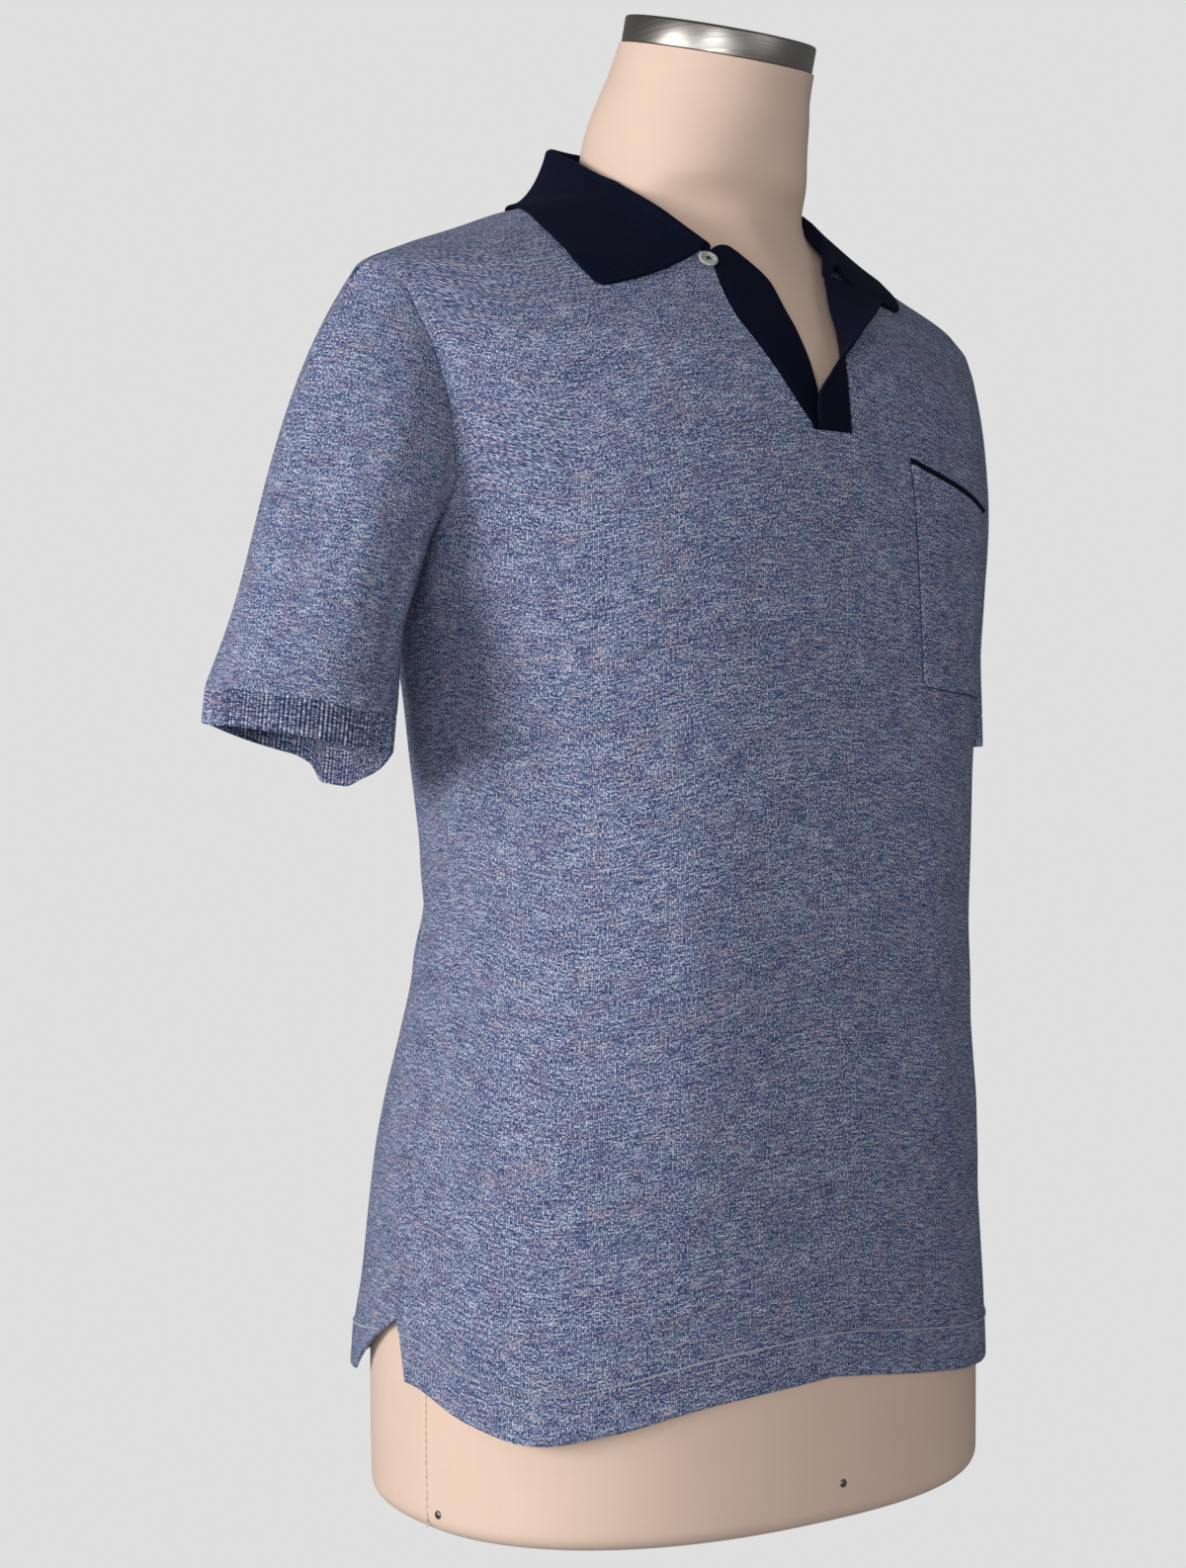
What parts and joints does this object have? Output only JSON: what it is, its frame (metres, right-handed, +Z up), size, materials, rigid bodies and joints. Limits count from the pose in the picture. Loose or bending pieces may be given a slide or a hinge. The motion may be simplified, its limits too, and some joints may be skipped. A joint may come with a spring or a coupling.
{
  "type": "polo shirt on dress form",
  "caption": "Short-sleeved knitted polo shirt with an open collar, chest pocket and side vents, worn by a limbless tailor's dress form that stands on its flat underside.",
  "frame": {"origin": "centre of the form's flat underside", "axes": "+Z up, the shirt faces -Y, +X is the wearer's left"},
  "size_m": [0.555, 0.3079, 0.8403],
  "materials": {
    "heather_jersey": "matt mélange jersey in blue and off-white",
    "navy_knit": "matt dark navy flat knit",
    "shell": "polished grey shell",
    "linen_cover": "matt beige plain-weave cover",
    "brushed_steel": "brushed round the band"
  },
  "bodies": {
    "root": {"front": "heather_jersey", "back": "heather_jersey", "hem_front": "heather_jersey", "hem_back": "heather_jersey", "sleeve_right": "heather_jersey", "sleeve_left": "heather_jersey", "cuff_right": "heather_jersey", "cuff_left": "heather_jersey", "pocket": "heather_jersey", "pocket_piping": "navy_knit", "collar": "navy_knit", "placket_right": "navy_knit", "placket_left": "navy_knit", "button": "shell", "form_torso": "linen_cover", "neck_cap": "brushed_steel"}
  },
  "joints": []
}
